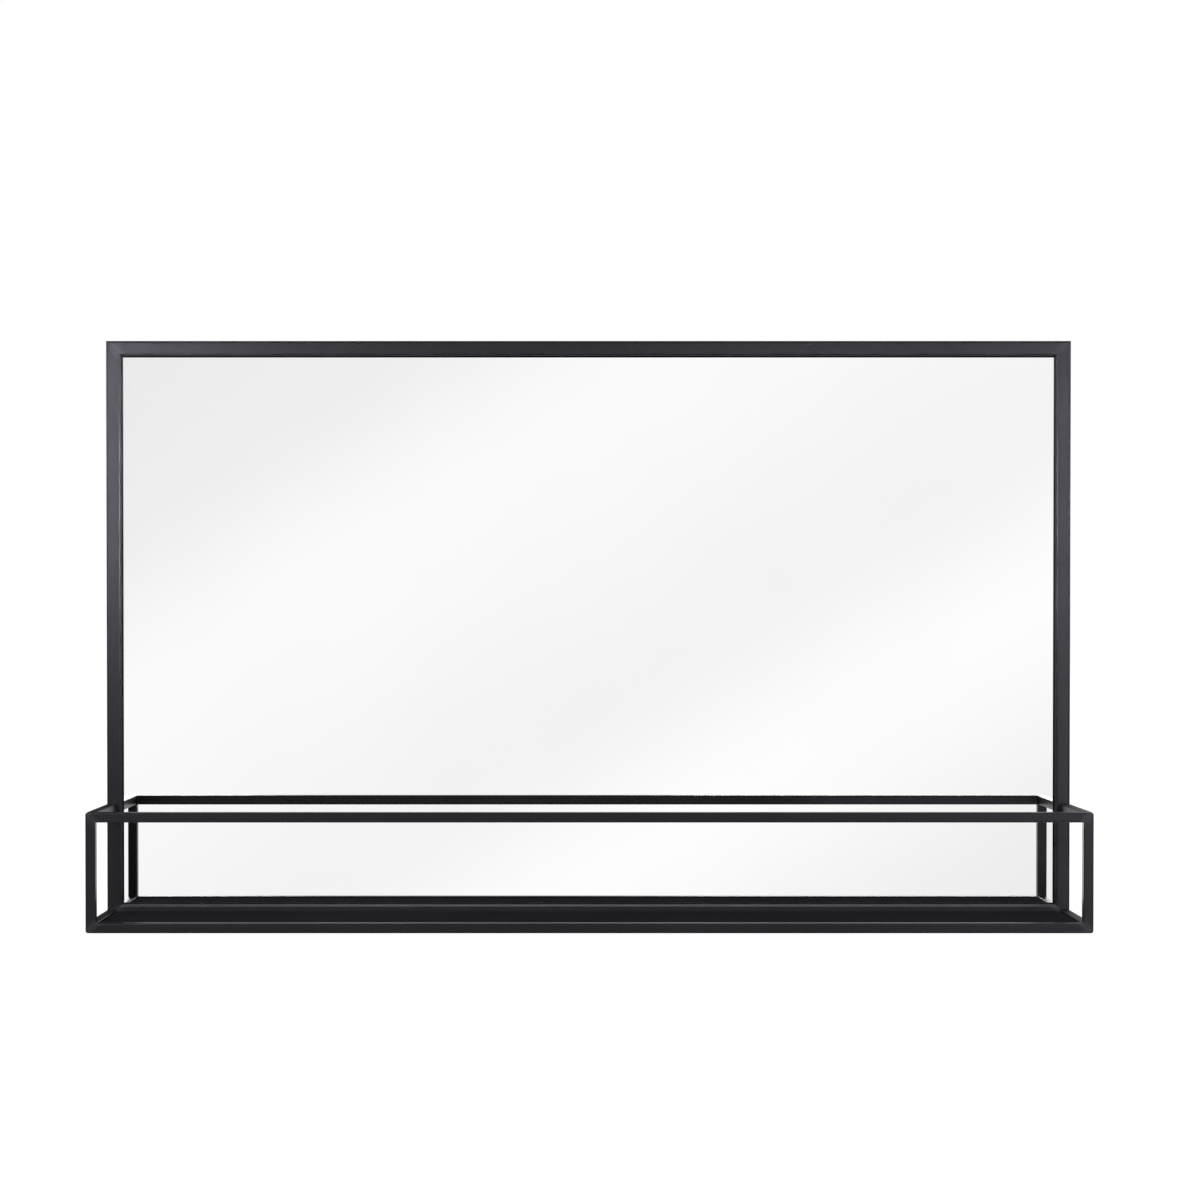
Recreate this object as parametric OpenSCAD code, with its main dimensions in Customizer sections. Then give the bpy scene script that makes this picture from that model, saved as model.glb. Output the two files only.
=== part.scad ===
// Wall mirror in a welded steel tube frame, with an open rail shelf across its foot.
// Millimetres. X runs to the right, Z up, and the front of the mirror faces -Y.
// The wall is the plane y = 0, and the origin is midway between the two hanging keyholes.

/* [Mirror frame] */
// Overall width of the frame, and of the shelf in front of it
frame_w = 1000; // [600:10:1500]
// Overall height of the frame
frame_h = 600; // [400:10:1200]
// Width of the frame tube as seen from the front
tube_face = 15; // [12:0.5:30]
// Depth of the frame tube from front to back
tube_depth = 25; // [20:0.5:40]
// Wall thickness of the frame tube
tube_wall = 1.5; // [1:0.1:2.5]
// Outside corner radius of the frame tube
tube_radius = 2; // [1.2:0.1:3]
// Diameter of the two drain holes in the back of the bottom tube
drain_d = 6; // [3:0.5:8]
// Distance from each end of the bottom tube to its drain hole
drain_from_end = 110; // [60:5:200]

/* [Rail shelf] */
// Height of the shelf rails, measured from the foot of the frame
shelf_h = 120; // [60:5:250]
// Depth of the shelf in front of the frame
shelf_depth = 120; // [60:5:250]
// Outside size of the square rail tube
rail = 10; // [8:0.5:20]
// Wall thickness of the rail tube
rail_wall = 1; // [0.8:0.1:2]
// Outside corner radius of the rail tube
rail_radius = 1.4; // [1:0.1:2.5]

/* [Shelf plate] */
// Thickness of the folded sheet
sheet = 1.2; // [0.8:0.1:2]
// Depth of the plate below the tops of the bottom rails
plate_drop = 1.4; // [0.5:0.1:4]
// Height left under the folded edges, down to the foot of the rails
flange_clear = 1.6; // [0.5:0.1:4]
// Inside radius of the folds
fold_radius = 0.8; // [0.4:0.1:2]
// Gap between the plate and the tubes it is welded to
plate_fit = 0.2; // [0.1:0.1:1]
// Size of the square relief cut at each folded corner
corner_relief = 2.5; // [2:0.5:6]

/* [Mirror and backing board] */
// Thickness of the mirror glass
glass_t = 4; // [3:1:6]
// Gap between the glass and the frame, all round
glass_gap = 1; // [0.5:0.1:3]
// Width of the ground arris on the glass edges
glass_arris = 0.6; // [0.3:0.1:1.5]
// Thickness of the foam tape that holds the glass
tape_t = 1; // [0.5:0.1:2]
// Width of one tape strip
tape_w = 25; // [10:1:50]
// Number of tape strips
tape_count = 6; // [2:1:12]
// Distance from the top and bottom of the glass to the strips
tape_inset = 40; // [10:5:80]
// Thickness of the backing board
board_t = 6; // [4:0.5:9]
// Gap between the backing board and the frame, all round
board_gap = 1.5; // [0.5:0.1:4]

/* [Board lugs] */
// Thickness of the welded lugs
lug_t = 2; // [1.5:0.5:3]
// Width of one lug along the tube
lug_w = 24; // [16:1:40]
// Reach of a lug over the board
lug_reach = 18; // [12:1:30]
// Radius of the free corners of a lug
lug_radius = 4; // [1:0.5:6]
// Room left behind the lugs, up to the back of the frame
lug_inset = 4; // [3:0.5:8]
// Number of lugs along the top and along the bottom
lugs_across = 3; // [2:1:6]
// Number of lugs up each side
lugs_up = 2; // [2:1:4]

/* [Board screws] */
// Diameter of the screw shank
screw_d = 3.5; // [2.5:0.5:4]
// Diameter of the screw head
screw_head_d = 7; // [5:0.5:8]
// Height of the screw head
screw_head_h = 2.2; // [1.5:0.1:2.8]
// Diametral clearance of the screw in its lug
screw_clearance = 0.6; // [0.2:0.1:1]
// Board left unpierced in front of the screw tip
screw_stop = 1; // [0.5:0.5:2]

/* [Hangers] */
// Distance between the two hanging keyholes
hanger_spacing = 800; // [300:10:1300]
// Thickness of the hanger plates, which is also the gap to the wall
hanger_t = 2; // [1.5:0.5:4]
// Width of a hanger plate
hanger_w = 50; // [30:1:80]
// Diameter of the keyhole's round entry
entry_d = 10; // [8:0.5:12]
// Width of the keyhole's slot
slot_w = 5; // [4:0.5:6]
// Rise from the entry's centre to the slot's end
slot_rise = 11; // [8:0.5:20]
// Metal left between the slot and the frame tube
hanger_web = 12; // [6:0.5:30]
// Metal left below the keyhole's entry
hanger_foot = 9; // [5:0.5:20]
// Radius of the hanger plate's lower corners
hanger_radius = 5; // [1:0.5:10]

/* [Wall bumpers] */
// Diameter of a bumper at the frame
bumper_d = 10; // [6:0.5:11]
// Width of the bevel round a bumper's wall face
bumper_bevel = 0.8; // [0.2:0.1:1.5]
// Distance from each end of the bottom tube to its bumper
bumper_from_end = 45; // [20:5:100]

/* [Hidden] */
$fn = 64;
// Overshoot of a cut past the face that it opens
cut = 1;

// Places, from the wall forwards
frame_back = -hanger_t;
frame_front = frame_back - tube_depth;
lug_back = frame_back - lug_inset;
board_back = lug_back - lug_t;
tape_back = board_back - board_t;
glass_back = tape_back - tape_t;
shelf_front = frame_front - shelf_depth;

// Heights, from the keyhole entries at z = 0
frame_top = tube_face + hanger_web + slot_w / 2 + slot_rise;
frame_foot = frame_top - frame_h;
opening_w = frame_w - 2 * tube_face;
opening_h = frame_h - 2 * tube_face;

side_rail_length = shelf_depth - rail;
plate_w = frame_w - 2 * rail - 2 * plate_fit;
plate_depth = side_rail_length - 2 * plate_fit;
plate_edge_h = rail - plate_drop - flange_clear;
glass_w = opening_w - 2 * glass_gap;
glass_h = opening_h - 2 * glass_gap;
board_w = opening_w - 2 * board_gap;
board_h = opening_h - 2 * board_gap;
tape_pitch = glass_w / tape_count;
across_pitch = opening_w / lugs_across;
up_pitch = opening_h / lugs_up;
screw_edge = lug_reach / 2 + board_gap;
screw_length = lug_t + board_t - screw_stop;
thread_fit = 0.1;

powder_black = [0.13, 0.13, 0.14];
sheet_black = [0.10, 0.10, 0.11];

// ---------- shared shapes ----------

// Rectangle with true round corners, from the origin
module rounded_rectangle(w, h, r) {
    translate([r, 0])
        square([w - 2 * r, h]);
    translate([0, r])
        square([w, h - 2 * r]);
    for (x = [r, w - r], y = [r, h - r])
        translate([x, y])
            circle(r);
}

// Strip centred on x, square where it is welded at y = 0, with true round corners at its free end
module tongue(w, h, r) {
    translate([-w / 2, 0])
        square([w, h - r]);
    translate([-w / 2 + r, 0])
        square([w - 2 * r, h]);
    for (x = [r - w / 2, w / 2 - r])
        translate([x, h - r])
            circle(r);
}

// Section of a cold-formed tube: the corner radii share their centres where the wall allows
module tube_section(w, h, wall, r) {
    inner_r = max(r - wall, 0.2);
    difference() {
        rounded_rectangle(w, h, r);
        translate([wall, wall])
            rounded_rectangle(w - 2 * wall, h - 2 * wall, inner_r);
    }
}

// Tube along X with its outer edge at z = 0 and both ends cut at 45 degrees
module mitred_tube(length, face, depth, wall, r) {
    intersection() {
        rotate([90, 0, 90])
            linear_extrude(length)
                tube_section(depth, face, wall, r);
        translate([0, depth + cut, 0])
            rotate([90, 0, 0])
                linear_extrude(depth + 2 * cut)
                    polygon([[0, 0], [length, 0], [length - face, face], [face, face]]);
    }
}

// Square-cut tube along +Y
module straight_tube(length, side, wall, r) {
    translate([0, length, 0])
        rotate([90, 0, 0])
            linear_extrude(length)
                tube_section(side, side, wall, r);
}

// Turn a member drawn along the foot of a rectangle to stand on its left side
module stand_up() {
    mirror([1, 0, 0])
        rotate([0, -90, 0])
            children();
}

// Draw a member drawn at the foot of a rectangle of height h at its head
module turn_over(h) {
    translate([0, 0, h])
        mirror([0, 0, 1])
            children();
}

// Children drawn for the left half, moved to the right half
module right_hand() {
    mirror([1, 0, 0])
        children();
}

// ---------- mirror frame ----------

module frame_tube(length) {
    mitred_tube(length, tube_face, tube_depth, tube_wall, tube_radius);
}

module at_frame_corner() {
    translate([-frame_w / 2, frame_front, frame_foot])
        children();
}

module frame_top_tube() {
    color(powder_black)
        at_frame_corner()
            turn_over(frame_h)
                frame_tube(frame_w);
}

module frame_bottom_tube() {
    color(powder_black)
        difference() {
            at_frame_corner()
                frame_tube(frame_w);
            for (side = [-1, 1])
                translate([side * (frame_w / 2 - drain_from_end), frame_back + cut, frame_foot + tube_face / 2])
                    rotate([90, 0, 0])
                        cylinder(d = drain_d, h = tube_wall + 2 * cut);
        }
}

module frame_left_tube() {
    color(powder_black)
        at_frame_corner()
            stand_up()
                frame_tube(frame_h);
}

module frame_right_tube() {
    right_hand()
        frame_left_tube();
}

// ---------- rail shelf ----------

module rail_tube(length) {
    mitred_tube(length, rail, rail, rail_wall, rail_radius);
}

module at_shelf_corner() {
    translate([-frame_w / 2, shelf_front, frame_foot])
        children();
}

module shelf_front_bottom_rail() {
    color(powder_black)
        at_shelf_corner()
            rail_tube(frame_w);
}

module shelf_front_top_rail() {
    color(powder_black)
        at_shelf_corner()
            turn_over(shelf_h)
                rail_tube(frame_w);
}

module shelf_left_post() {
    color(powder_black)
        at_shelf_corner()
            stand_up()
                rail_tube(shelf_h);
}

module shelf_right_post() {
    right_hand()
        shelf_left_post();
}

// Rail from the back of the front rectangle to the front of the mirror frame
module side_rail(height) {
    color(powder_black)
        translate([-frame_w / 2, shelf_front + rail, frame_foot + height])
            straight_tube(side_rail_length, rail, rail_wall, rail_radius);
}

module shelf_left_bottom_rail() {
    side_rail(0);
}

module shelf_left_top_rail() {
    side_rail(shelf_h - rail);
}

module shelf_right_bottom_rail() {
    right_hand()
        shelf_left_bottom_rail();
}

module shelf_right_top_rail() {
    right_hand()
        shelf_left_top_rail();
}

// ---------- shelf plate ----------

// Section of a sheet with both edges folded down, top face on y = 0, width w
module folded_section(w) {
    outer = fold_radius + sheet;
    for (side = [0, 1])
        translate([side * w, 0])
            mirror([side, 0]) {
                translate([0, -plate_edge_h])
                    square([sheet, plate_edge_h - outer]);
                translate([outer, -outer])
                    intersection() {
                        difference() {
                            circle(outer);
                            circle(fold_radius);
                        }
                        translate([-outer, 0])
                            square(outer);
                    }
            }
    translate([outer, -sheet])
        square([w - 2 * outer, sheet]);
}

// Sheet folded along its long and its short edges, with a relief cut at each corner
module shelf_plate() {
    color(sheet_black)
        translate([-plate_w / 2, shelf_front + rail + plate_fit, frame_foot + rail - plate_drop]) {
            translate([corner_relief, 0, 0])
                rotate([90, 0, 90])
                    linear_extrude(plate_w - 2 * corner_relief)
                        folded_section(plate_depth);
            translate([0, plate_depth - corner_relief, 0])
                rotate([90, 0, 0])
                    linear_extrude(plate_depth - 2 * corner_relief)
                        folded_section(plate_w);
        }
}

// ---------- mirror panel ----------

// Upright sheet with its long edges ground at 45 degrees, centred on x, its back at y = 0
module arrissed_sheet(w, h, t, arris) {
    intersection() {
        linear_extrude(h)
            ground_edges(w, t, arris);
        translate([-w / 2, 0, h / 2])
            rotate([0, 90, 0])
                linear_extrude(w)
                    ground_edges(h, t, arris);
    }
}

module ground_edges(w, t, arris) {
    polygon([
        [-w / 2, -arris], [-w / 2 + arris, 0], [w / 2 - arris, 0], [w / 2, -arris],
        [w / 2, arris - t], [w / 2 - arris, -t], [-w / 2 + arris, -t], [-w / 2, arris - t]
    ]);
}

module mirror_glass() {
    color([0.80, 0.84, 0.85])
        translate([0, glass_back, frame_foot + tube_face + glass_gap])
            arrissed_sheet(glass_w, glass_h, glass_t, glass_arris);
}

module glass_tape_strips() {
    color([0.92, 0.92, 0.90])
        for (i = [0 : tape_count - 1])
            translate([(i - (tape_count - 1) / 2) * tape_pitch - tape_w / 2, glass_back,
                       frame_foot + tube_face + glass_gap + tape_inset])
                cube([tape_w, tape_t, glass_h - 2 * tape_inset]);
}

// Every lug position: [x, z, turn], the turn taking "inwards" from +Z to that side's inward direction
function places_on_foot() = [
    for (i = [0 : lugs_across - 1]) [(i - (lugs_across - 1) / 2) * across_pitch, frame_foot + tube_face, 0]
];
function places_on_head() = [
    for (p = places_on_foot()) [p[0], frame_top - tube_face, 180]
];
function places_on_left() = [
    for (i = [0 : lugs_up - 1])
        [-opening_w / 2, frame_foot + frame_h / 2 + (i - (lugs_up - 1) / 2) * up_pitch, 90]
];
function places_on_right() = [
    for (p = places_on_left()) [-p[0], p[1], -90]
];
all_places = concat(places_on_foot(), places_on_head(), places_on_left(), places_on_right());

module at_place(p) {
    translate([p[0], 0, p[1]])
        rotate([0, p[2], 0])
            children();
}

// Hole along Y at the middle of a lug, from depth y forwards
module screw_hole(d, y, length) {
    translate([0, y, screw_edge])
        rotate([90, 0, 0])
            cylinder(d = d, h = length);
}

module backing_board() {
    color([0.55, 0.43, 0.30])
        difference() {
            translate([-board_w / 2, tape_back, frame_foot + tube_face + board_gap])
                cube([board_w, board_t, board_h]);
            for (p = all_places)
                at_place(p)
                    screw_hole(screw_d + thread_fit, board_back + cut, board_t - screw_stop + thread_fit + cut);
        }
}

// Flat lug welded by its straight edge to the inside of a frame tube
module board_lug() {
    difference() {
        translate([0, lug_back, 0])
            rotate([90, 0, 0])
                linear_extrude(lug_t)
                    tongue(lug_w, lug_reach, lug_radius);
        screw_hole(screw_d + screw_clearance, lug_back + cut, lug_t + 2 * cut);
    }
}

module lugs(places) {
    color(powder_black)
        for (p = places)
            at_place(p)
                board_lug();
}

module top_board_lugs() {
    lugs(places_on_head());
}

module bottom_board_lugs() {
    lugs(places_on_foot());
}

module left_board_lugs() {
    lugs(places_on_left());
}

module right_board_lugs() {
    lugs(places_on_right());
}

// Pan head screw: its head behind the lug, its shank through the lug into the board
module board_screw() {
    dome_r = (pow(screw_head_d / 2, 2) + pow(screw_head_h, 2)) / (2 * screw_head_h);
    translate([0, lug_back, screw_edge])
        rotate([-90, 0, 0]) {
            intersection() {
                cylinder(d = screw_head_d, h = screw_head_h);
                translate([0, 0, screw_head_h - dome_r])
                    sphere(dome_r);
            }
            translate([0, 0, -screw_length])
                cylinder(d = screw_d, h = screw_length);
        }
}

module board_screws() {
    color("silver")
        for (p = all_places)
            at_place(p)
                board_screw();
}

// ---------- hanging ----------

module keyhole() {
    circle(d = entry_d);
    translate([-slot_w / 2, 0])
        square([slot_w, slot_rise]);
    translate([0, slot_rise])
        circle(d = slot_w);
}

// Plate welded over the back of the top tube, with the keyhole's entry at z = 0
module hanger_plate() {
    low = -entry_d / 2 - hanger_foot;
    high = frame_top - tube_radius;
    rotate([90, 0, 0])
        linear_extrude(hanger_t)
            difference() {
                translate([0, high])
                    mirror([0, 1])
                        tongue(hanger_w, high - low, hanger_radius);
                keyhole();
            }
}

module left_hanger_plate() {
    color(powder_black)
        translate([-hanger_spacing / 2, 0, 0])
            hanger_plate();
}

module right_hanger_plate() {
    right_hand()
        left_hanger_plate();
}

// Rubber pads as thick as the hanger plates, so that the mirror hangs parallel to the wall
module wall_bumpers() {
    color([0.08, 0.08, 0.08])
        for (side = [-1, 1])
            translate([side * (frame_w / 2 - bumper_from_end), frame_back, frame_foot + tube_face / 2])
                rotate([-90, 0, 0]) {
                    cylinder(d = bumper_d, h = hanger_t - bumper_bevel);
                    translate([0, 0, hanger_t - bumper_bevel])
                        cylinder(d1 = bumper_d, d2 = bumper_d - 2 * bumper_bevel, h = bumper_bevel);
                }
}

frame_top_tube();
frame_bottom_tube();
frame_left_tube();
frame_right_tube();
shelf_front_top_rail();
shelf_front_bottom_rail();
shelf_left_post();
shelf_right_post();
shelf_left_top_rail();
shelf_right_top_rail();
shelf_left_bottom_rail();
shelf_right_bottom_rail();
shelf_plate();
mirror_glass();
glass_tape_strips();
backing_board();
top_board_lugs();
bottom_board_lugs();
left_board_lugs();
right_board_lugs();
board_screws();
left_hanger_plate();
right_hanger_plate();
wall_bumpers();
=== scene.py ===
"""Wall mirror in a mitred steel tube frame with a rail shelf along its foot.

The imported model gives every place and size. This script rebuilds the tubes, the pane, the
screws and the welds as finished meshes, dresses all the pieces, and sets up the studio.
Everything is in metres: +X right, +Y into the wall, +Z up.
"""
import logging
import math
from dataclasses import dataclass, field
from enum import Enum
from typing import Iterable, Sequence

import bmesh
import bpy
from bmesh.types import BMEdge, BMFace, BMVert
from bpy.types import ID, Collection, Material, Node, NodeSocket, NodeTree, Object
from mathutils import Matrix, Vector


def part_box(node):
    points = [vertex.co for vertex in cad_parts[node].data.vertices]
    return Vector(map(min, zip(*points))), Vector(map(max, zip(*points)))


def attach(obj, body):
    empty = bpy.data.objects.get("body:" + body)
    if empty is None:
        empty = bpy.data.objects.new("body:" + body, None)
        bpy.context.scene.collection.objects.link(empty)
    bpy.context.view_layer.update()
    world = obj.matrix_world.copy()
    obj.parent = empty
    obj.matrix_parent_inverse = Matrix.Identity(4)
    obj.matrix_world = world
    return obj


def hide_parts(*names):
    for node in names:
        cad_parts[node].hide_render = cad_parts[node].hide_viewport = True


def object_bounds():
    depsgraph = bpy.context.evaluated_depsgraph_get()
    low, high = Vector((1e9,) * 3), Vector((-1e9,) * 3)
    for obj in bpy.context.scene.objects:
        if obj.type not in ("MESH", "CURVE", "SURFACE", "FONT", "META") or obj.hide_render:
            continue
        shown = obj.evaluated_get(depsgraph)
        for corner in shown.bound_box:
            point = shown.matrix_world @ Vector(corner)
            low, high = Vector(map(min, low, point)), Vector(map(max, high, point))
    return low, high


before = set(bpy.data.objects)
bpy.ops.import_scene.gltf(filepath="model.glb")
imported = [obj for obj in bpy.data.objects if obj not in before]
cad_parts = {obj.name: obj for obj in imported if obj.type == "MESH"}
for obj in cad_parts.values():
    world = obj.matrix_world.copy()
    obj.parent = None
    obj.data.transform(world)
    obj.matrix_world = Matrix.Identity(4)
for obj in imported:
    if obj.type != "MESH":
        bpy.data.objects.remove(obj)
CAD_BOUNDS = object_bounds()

log = logging.getLogger("mirror_with_shelf")

BODY = "root"
MM = 0.001
SAME_POINT = 1e-7
Colour = tuple[float, float, float]
Box = tuple[Vector, Vector]


# ---------------------------------------------------------------- choices


class Edge(Enum):
    """The four sides of a welded rectangle, as the turn about Y that carries its top there."""

    TOP = 0.0
    RIGHT = 90.0
    BOTTOM = 180.0
    LEFT = 270.0


class Side(Enum):
    """Left or right half of the mirror, as the sign of X."""

    LEFT = -1
    RIGHT = 1


class Lights(Enum):
    """Which pieces a lamp lights. None lights the glass, so that it shows no lamp."""

    ALL = "lit_by_most_lamps"
    NOT_FRAME = "lit_by_lamp_behind"
    FRAME = "lit_by_wall_side_lamp"
    FOOT = "lit_by_foot_lamp"
    SHELF_FRONT = "lit_by_glass_bounce"


class Slot(Enum):
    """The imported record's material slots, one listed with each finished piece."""

    FRAME = "frame_steel"
    RAIL = "rail_steel"
    SHEET = "shelf_sheet"
    BACK = "back_steel"
    MIRROR = "mirror_glass"
    SCREW = "zinc_screws"
    RUBBER = "bumper_rubber"


# ---------------------------------------------------------------- node sheets


class NodeSheet:
    """A node tree with short calls for adding and joining its nodes."""

    def __init__(self, tree: NodeTree) -> None:
        """Keeps the tree.

        Args:
            tree: The material, world or group tree that is filled.
        """
        self.tree = tree

    def add(self, kind: str, *inputs: object, **settings: object) -> Node:
        """Adds a node.

        Args:
            kind: The node's type name.
            inputs: A socket, a number or a tuple for each of its first inputs.
            settings: Attributes set on the node.

        Returns:
            The new node.
        """
        node = self.tree.nodes.new(kind)
        for name, value in settings.items():
            setattr(node, name, value)
        for place, value in enumerate(inputs):
            self.feed(node.inputs[place], value)
        return node

    def join(self, source: NodeSocket, target: NodeSocket) -> None:
        """Links an output to an input."""
        self.tree.links.new(source, target)

    def feed(self, target: NodeSocket, value: object) -> None:
        """Gives an input either a link or a plain value.

        Args:
            target: The input.
            value: An output socket, a number or a tuple.
        """
        if isinstance(value, NodeSocket):
            self.join(value, target)
        else:
            target.default_value = value

    def maths(self, operation: str, *inputs: object, clamp: bool = False) -> NodeSocket:
        """Adds a Math node and returns its output."""
        return self.add("ShaderNodeMath", *inputs, operation=operation,
                        use_clamp=clamp).outputs[0]

    def vector_maths(self, operation: str, *inputs: object) -> Node:
        """Adds a Vector Math node and returns it."""
        return self.add("ShaderNodeVectorMath", *inputs, operation=operation)

    def axes(self, vector: NodeSocket) -> list[NodeSocket]:
        """Splits a vector and returns its X, Y and Z."""
        return list(self.add("ShaderNodeSeparateXYZ", vector).outputs)

    def spread(self, value: object, low: float, high: float, to_low: float = 0.0,
               to_high: float = 1.0, smooth: bool = False) -> NodeSocket:
        """Maps low..high onto to_low..to_high, clamped.

        Args:
            value: The socket or number that is mapped.
            low: Start of the range it comes from.
            high: End of the range it comes from.
            to_low: What low becomes.
            to_high: What high becomes.
            smooth: Whether the ends ease in and out.

        Returns:
            The mapped output.
        """
        node = self.add("ShaderNodeMapRange", value, low, high, to_low, to_high, clamp=True,
                        interpolation_type="SMOOTHSTEP" if smooth else "LINEAR")
        return node.outputs["Result"]

    def blend(self, factor: object, first: object, second: object) -> NodeSocket:
        """Mixes two colours.

        Args:
            factor: Share of the second colour.
            first: A colour or the socket that gives it.
            second: The other one.

        Returns:
            The mixed colour.
        """
        node = self.add("ShaderNodeMix", factor, data_type="RGBA")
        for place, value in ((6, first), (7, second)):
            self.feed(node.inputs[place], (*value, 1.0) if isinstance(value, tuple) else value)
        return node.outputs[2]

    def noise(self, vector: NodeSocket, scale: object, detail: float = 2.0,
              roughness: float = 0.5) -> NodeSocket:
        """Adds a noise and returns its value."""
        node = self.add("ShaderNodeTexNoise", vector, 0.0, scale, detail, roughness)
        return node.outputs["Fac"]


class EffectGroup(NodeSheet):
    """The node sheet of a shader node group that several finishes share."""

    def __init__(self, name: str, inputs: dict[str, float | None],
                 outputs: Sequence[str]) -> None:
        """Starts the group with its named sockets.

        Args:
            name: The group's name.
            inputs: The default of each input, or None for a vector.
            outputs: Names of the outputs, each a plain value.
        """
        super().__init__(bpy.data.node_groups.new(name, "ShaderNodeTree"))
        for label, default in inputs.items():
            kind = "NodeSocketVector" if default is None else "NodeSocketFloat"
            socket = self.tree.interface.new_socket(label, in_out="INPUT", socket_type=kind)
            if default is not None:
                socket.default_value = default
        for label in outputs:
            self.tree.interface.new_socket(label, in_out="OUTPUT", socket_type="NodeSocketFloat")
        self.source = self.add("NodeGroupInput")
        self.sink = self.add("NodeGroupOutput")

    def given(self, label: str) -> NodeSocket:
        """What the group is fed under a name."""
        return self.source.outputs[label]

    def give(self, label: str, value: NodeSocket) -> None:
        """Puts a value out under a name."""
        self.join(value, self.sink.inputs[label])


@dataclass
class Effects:
    """Surface effects that several finishes share, each built once as a node group.

    Each range maps a noise or a normal onto a mask from 0 to 1.
    """

    edge_range: tuple[float, float] = (0.985, 0.80)
    breakup_range: tuple[float, float] = (0.35, 0.70)
    cloud_range: tuple[float, float] = (0.30, 0.70)
    fleck_range: tuple[float, float] = (0.70, 0.78)
    orange_peel: NodeTree = field(init=False)
    edge_rub: NodeTree = field(init=False)
    handling: NodeTree = field(init=False)
    ground_mitre: NodeTree = field(init=False)

    def __post_init__(self) -> None:
        """Builds the groups."""
        self.orange_peel = self._orange_peel()
        self.edge_rub = self._edge_wear_and_highlight()
        self.handling = self._handling()
        self.ground_mitre = self._ground_mitre()

    @staticmethod
    def _orange_peel() -> NodeTree:
        """Height of a baked powder coat: soft waves with a fine grit on them.

        Returns:
            The group.
        """
        group = EffectGroup(
            "orange_peel", {"Vector": None, "Wave Scale": 420.0, "Grit Scale": 1500.0,
                            "Grit Share": 0.3}, ["Height"])
        waves = group.noise(group.given("Vector"), group.given("Wave Scale"), detail=1.0)
        grit = group.noise(group.given("Vector"), group.given("Grit Scale"))
        share = group.given("Grit Share")
        rest = group.maths("SUBTRACT", 1.0, share)
        group.give("Height", group.maths("ADD", group.maths("MULTIPLY", waves, rest),
                                         group.maths("MULTIPLY", grit, share)))
        return group.tree

    def _edge_wear_and_highlight(self) -> NodeTree:
        """Mask of the rounded edges of a part with square faces, broken up by a noise: worn coat
        there, and partly a painted highlight along the edges.

        Returns:
            The group.
        """
        group = EffectGroup(
            "edge_rub", {"Vector": None, "Normal": None, "Amount": 0.5,
                         "Breakup Scale": 60.0}, ["Mask"])
        sizes = [group.maths("ABSOLUTE", axis) for axis in group.axes(group.given("Normal"))]
        largest = group.maths("MAXIMUM", group.maths("MAXIMUM", sizes[0], sizes[1]), sizes[2])
        edge = group.spread(largest, *self.edge_range, smooth=True)
        noise = group.noise(group.given("Vector"), group.given("Breakup Scale"),
                            detail=3.0)
        broken = group.spread(noise, *self.breakup_range, smooth=True)
        group.give("Mask", group.maths("MULTIPLY", group.maths("MULTIPLY", edge, broken),
                                       group.given("Amount")))
        return group.tree

    def _handling(self) -> NodeTree:
        """Slow uneven mask of a surface that has been wiped and handled.

        Returns:
            The group.
        """
        group = EffectGroup(
            "handling", {"Vector": None, "Cloud Scale": 9.0, "Fleck Scale": 260.0},
            ["Cloud", "Flecks"])
        cloud = group.noise(group.given("Vector"), group.given("Cloud Scale"),
                            detail=3.0, roughness=0.6)
        group.give("Cloud", group.spread(cloud, *self.cloud_range, smooth=True))
        flecks = group.noise(group.given("Vector"), group.given("Fleck Scale"), detail=1.0)
        group.give("Flecks", group.spread(flecks, *self.fleck_range, smooth=True))
        return group.tree

    @staticmethod
    def _ground_mitre() -> NodeTree:
        """Mask of the dressed weld across each mitre of a rectangle in the XZ plane, where a
        painted highlight also lies.

        Returns:
            The group.
        """
        group = EffectGroup(
            "ground_mitre", {"Vector": None, "Half Width": 0.5, "Top": 0.0, "Foot": 0.0,
                             "Band": 0.002, "Reach": 0.024}, ["Mask"])
        across, _, height = group.axes(group.given("Vector"))
        inward = group.maths("SUBTRACT", group.given("Half Width"),
                             group.maths("ABSOLUTE", across))
        below = group.maths("SUBTRACT", group.given("Top"), height)
        above = group.maths("SUBTRACT", height, group.given("Foot"))
        near_top, near_foot = (
            group.maths("ABSOLUTE", group.maths("SUBTRACT", inward, depth))
            for depth in (below, above))
        nearest = group.maths("MINIMUM", near_top, near_foot)
        share = group.maths("DIVIDE", nearest, group.given("Band"))
        at_corner = group.maths("LESS_THAN", inward, group.given("Reach"))
        group.give("Mask", group.maths(
            "MULTIPLY", group.spread(share, 1.0, 0.0, smooth=True), at_corner))
        return group.tree


# ---------------------------------------------------------------- finishes


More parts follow.
